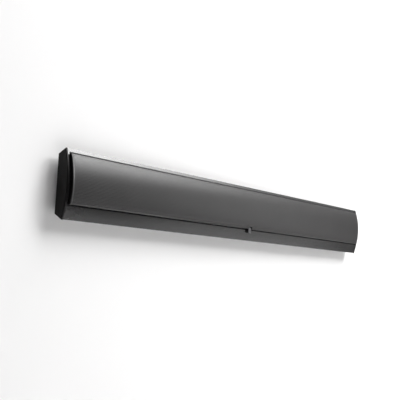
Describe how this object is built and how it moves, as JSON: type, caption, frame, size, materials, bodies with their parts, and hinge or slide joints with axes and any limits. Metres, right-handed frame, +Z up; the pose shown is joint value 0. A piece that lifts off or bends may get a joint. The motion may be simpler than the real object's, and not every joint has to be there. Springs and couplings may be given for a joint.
{
  "type": "soundbar",
  "caption": "Slim wall-hung passive three-channel soundbar with bowed lift-off grille, moving drivers, spring terminals and a hook-on wall bracket.",
  "frame": {"origin": "middle of the wall bracket's back face, level with the middle of the bar's height", "axes": "+X along the bar to the viewer's right, +Y into the wall, +Z up"},
  "size_m": [1.098, 0.0377, 0.118],
  "materials": {
    "bracket_steel": "black powder coat",
    "anodised_black": "satin black anodised",
    "cap_plastic": "satin black moulding",
    "gasket_foam": "matt",
    "screw_black": "black zinc",
    "screw_zinc": "bright zinc",
    "rubber": "matt",
    "baffle_plastic": "fine moulded grain",
    "damping_wool": "loose polyester wool",
    "frame_plastic": "glass-filled nylon",
    "motor_steel": "nickel plate",
    "spider_cloth": "resin-set cotton",
    "cone_pulp": "coated pulp",
    "dome_silk": "doped silk",
    "board": "solder mask over glass fibre",
    "copper_wire": "enamelled copper",
    "capacitor_film": "film sleeve",
    "resistor_ceramic": "unglazed ceramic",
    "terminal_plastic": "moulded ABS",
    "contact_brass": "bright",
    "lever_red": "moulded",
    "lever_black": "moulded",
    "lead_pvc": "PVC insulation",
    "grille_metal": "perforated steel, fine satin black powder coat",
    "grille_fabric": "open-weave acoustic cloth",
    "tab_metal": "satin"
  },
  "bodies": {
    "bracket": {"wall_bracket": "bracket_steel"},
    "cabinet": {"baffle_screws": "screw_black", "board_screws": "screw_zinc", "board_spacers": "frame_plastic", "centre_tab": "tab_metal", "chamber_walls": "baffle_plastic", "crossover_board": "board", "crossover_capacitors": "capacitor_film", "crossover_coils": "copper_wire", "crossover_resistors": "resistor_ceramic", "damping_pads": "damping_wool", "end_cap_gaskets": "gasket_foam", "end_cap_left": "cap_plastic", "end_cap_right": "cap_plastic", "front_baffle": "baffle_plastic", "grille_sockets": "rubber", "hanger_rail": "bracket_steel", "hanger_rail_screws": "screw_zinc", "lever_pins": "screw_zinc", "lower_extrusion": "anodised_black", "rear_panel": "anodised_black", "rear_screws": "screw_black", "speaker_leads": "lead_pvc", "terminal_blocks": "terminal_plastic", "terminal_contacts": "contact_brass", "terminal_cup": "terminal_plastic", "terminal_cup_screws": "screw_black", "tweeter_faceplates": "frame_plastic", "tweeter_motors": "motor_steel", "tweeter_screws": "screw_black", "tweeter_surrounds": "dome_silk", "upper_extrusion": "anodised_black", "wall_bumpers": "rubber", "woofer_frames": "frame_plastic", "woofer_magnets": "motor_steel", "woofer_pole_plates": "motor_steel", "woofer_screws": "screw_black", "woofer_spiders": "spider_cloth", "woofer_surrounds": "rubber", "woofer_yokes": "motor_steel"},
    "grille": {"grille_skin": "grille_metal", "grille_cloth": "grille_fabric", "grille_frame": "frame_plastic", "grille_end_plates": "cap_plastic", "grille_pegs": "frame_plastic"},
    "woofer_left_outer": {"woofer_cone_left_outer": "cone_pulp"},
    "woofer_left_inner": {"woofer_cone_left_inner": "cone_pulp"},
    "woofer_centre_left": {"woofer_cone_centre_left": "cone_pulp"},
    "woofer_centre_right": {"woofer_cone_centre_right": "cone_pulp"},
    "woofer_right_inner": {"woofer_cone_right_inner": "cone_pulp"},
    "woofer_right_outer": {"woofer_cone_right_outer": "cone_pulp"},
    "tweeter_left": {"tweeter_dome_left": "dome_silk"},
    "tweeter_centre": {"tweeter_dome_centre": "dome_silk"},
    "tweeter_right": {"tweeter_dome_right": "dome_silk"},
    "lever_left_positive": {"terminal_lever_left_positive": "lever_red"},
    "lever_left_negative": {"terminal_lever_left_negative": "lever_black"},
    "lever_centre_positive": {"terminal_lever_centre_positive": "lever_red"},
    "lever_centre_negative": {"terminal_lever_centre_negative": "lever_black"},
    "lever_right_positive": {"terminal_lever_right_positive": "lever_red"},
    "lever_right_negative": {"terminal_lever_right_negative": "lever_black"}
  },
  "joints": [
    {"name": "hang_lift", "type": "slide", "parent": "bracket", "child": "cabinet", "axis": [0, 0, 1], "range_m": [0, 0.012]},
    {"name": "grille_pull", "type": "slide", "parent": "cabinet", "child": "grille", "axis": [0, -1, 0], "range_m": [0, 0.06]},
    {"name": "woofer_left_outer_travel", "type": "slide", "parent": "cabinet", "child": "woofer_left_outer", "axis": [0, -1, 0], "range_m": [-0.002, 0.002], "stiffness_N_per_m": 1400, "deforming": ["woofer_surrounds", "woofer_spiders"]},
    {"name": "woofer_left_inner_travel", "type": "slide", "parent": "cabinet", "child": "woofer_left_inner", "axis": [0, -1, 0], "range_m": [-0.002, 0.002], "stiffness_N_per_m": 1400, "deforming": ["woofer_surrounds", "woofer_spiders"]},
    {"name": "woofer_centre_left_travel", "type": "slide", "parent": "cabinet", "child": "woofer_centre_left", "axis": [0, -1, 0], "range_m": [-0.002, 0.002], "stiffness_N_per_m": 1400, "deforming": ["woofer_surrounds", "woofer_spiders"]},
    {"name": "woofer_centre_right_travel", "type": "slide", "parent": "cabinet", "child": "woofer_centre_right", "axis": [0, -1, 0], "range_m": [-0.002, 0.002], "stiffness_N_per_m": 1400, "deforming": ["woofer_surrounds", "woofer_spiders"]},
    {"name": "woofer_right_inner_travel", "type": "slide", "parent": "cabinet", "child": "woofer_right_inner", "axis": [0, -1, 0], "range_m": [-0.002, 0.002], "stiffness_N_per_m": 1400, "deforming": ["woofer_surrounds", "woofer_spiders"]},
    {"name": "woofer_right_outer_travel", "type": "slide", "parent": "cabinet", "child": "woofer_right_outer", "axis": [0, -1, 0], "range_m": [-0.002, 0.002], "stiffness_N_per_m": 1400, "deforming": ["woofer_surrounds", "woofer_spiders"]},
    {"name": "tweeter_left_travel", "type": "slide", "parent": "cabinet", "child": "tweeter_left", "axis": [0, -1, 0], "range_m": [-0.0003, 0.0003], "stiffness_N_per_m": 1200},
    {"name": "tweeter_centre_travel", "type": "slide", "parent": "cabinet", "child": "tweeter_centre", "axis": [0, -1, 0], "range_m": [-0.0003, 0.0003], "stiffness_N_per_m": 1200},
    {"name": "tweeter_right_travel", "type": "slide", "parent": "cabinet", "child": "tweeter_right", "axis": [0, -1, 0], "range_m": [-0.0003, 0.0003], "stiffness_N_per_m": 1200},
    {"name": "lever_left_positive_press", "type": "hinge", "parent": "cabinet", "child": "lever_left_positive", "pos_m": [-0.22875, -0.0133, 0.019], "axis": [-1, 0, 0], "range_deg": [0, 15], "stiffness_Nm_per_rad": 0.05},
    {"name": "lever_left_negative_press", "type": "hinge", "parent": "cabinet", "child": "lever_left_negative", "pos_m": [-0.21425, -0.0133, 0.019], "axis": [-1, 0, 0], "range_deg": [0, 15], "stiffness_Nm_per_rad": 0.05},
    {"name": "lever_centre_positive_press", "type": "hinge", "parent": "cabinet", "child": "lever_centre_positive", "pos_m": [-0.19975, -0.0133, 0.019], "axis": [-1, 0, 0], "range_deg": [0, 15], "stiffness_Nm_per_rad": 0.05},
    {"name": "lever_centre_negative_press", "type": "hinge", "parent": "cabinet", "child": "lever_centre_negative", "pos_m": [-0.18525, -0.0133, 0.019], "axis": [-1, 0, 0], "range_deg": [0, 15], "stiffness_Nm_per_rad": 0.05},
    {"name": "lever_right_positive_press", "type": "hinge", "parent": "cabinet", "child": "lever_right_positive", "pos_m": [-0.17075, -0.0133, 0.019], "axis": [-1, 0, 0], "range_deg": [0, 15], "stiffness_Nm_per_rad": 0.05},
    {"name": "lever_right_negative_press", "type": "hinge", "parent": "cabinet", "child": "lever_right_negative", "pos_m": [-0.15625, -0.0133, 0.019], "axis": [-1, 0, 0], "range_deg": [0, 15], "stiffness_Nm_per_rad": 0.05}
  ]
}
